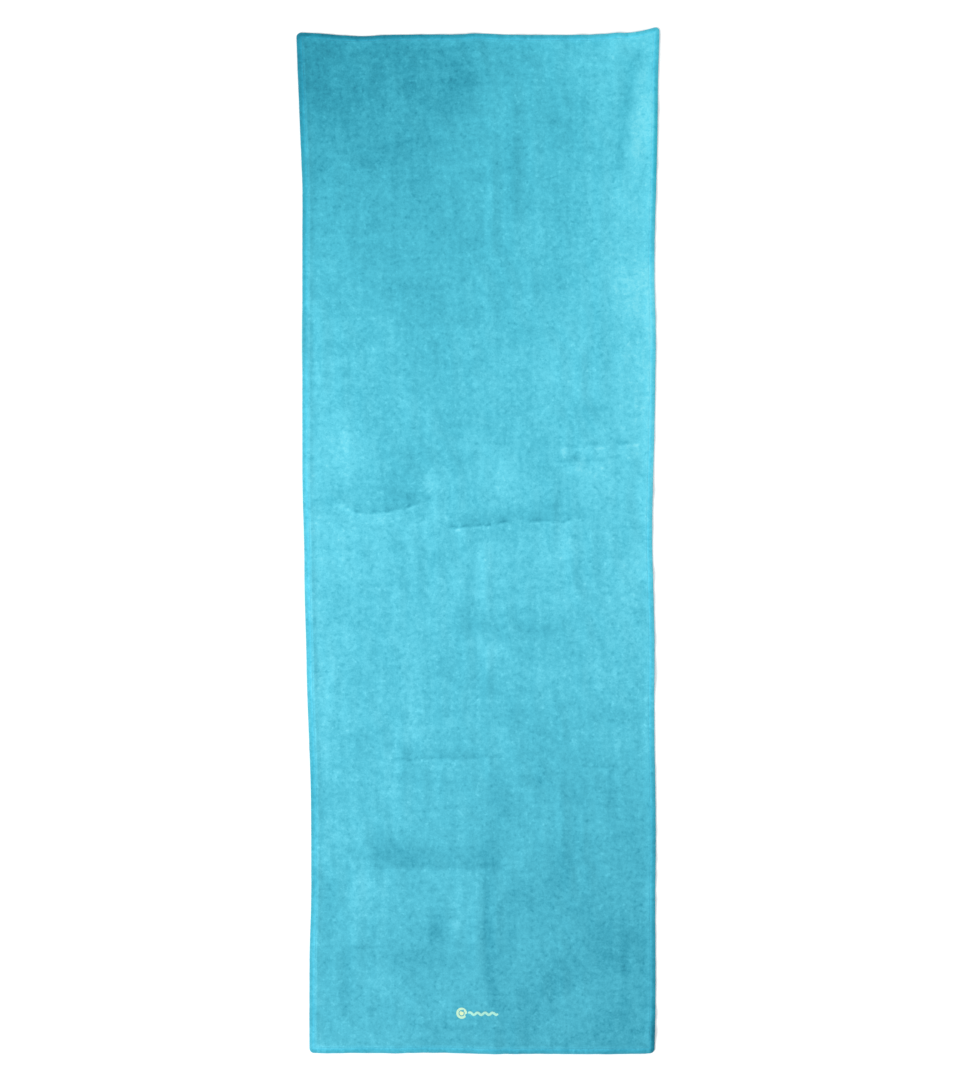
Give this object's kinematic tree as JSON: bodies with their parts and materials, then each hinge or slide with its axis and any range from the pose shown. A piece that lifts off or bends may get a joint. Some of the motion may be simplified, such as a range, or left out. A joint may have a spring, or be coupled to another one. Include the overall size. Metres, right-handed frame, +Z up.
{
  "type": "quick dry towel",
  "caption": "Long thin brushed microfibre towel with turned and stitched hems, rounded corners and a small plain mark near one end, lying flat.",
  "frame": {"origin": "on the floor under the middle of the towel's box", "axes": "+X across the towel, +Y along it from the end with the mark to the head end, +Z up out of its face"},
  "size_m": [0.6142, 1.7372, 0.003],
  "materials": {
    "microfibre": "brushed suede nap, matt",
    "hem_thread": "spun polyester thread",
    "mark_film": "thin heat-pressed film"
  },
  "bodies": {
    "root": {"towel_panel": "microfibre", "head_hem": "microfibre", "foot_hem": "microfibre", "left_hem": "microfibre", "right_hem": "microfibre", "head_needle_thread": "hem_thread", "foot_needle_thread": "hem_thread", "left_needle_thread": "hem_thread", "right_needle_thread": "hem_thread", "head_bobbin_thread": "hem_thread", "foot_bobbin_thread": "hem_thread", "left_bobbin_thread": "hem_thread", "right_bobbin_thread": "hem_thread", "mark_ring": "mark_film", "mark_dot": "mark_film", "mark_wave": "mark_film"}
  },
  "joints": []
}
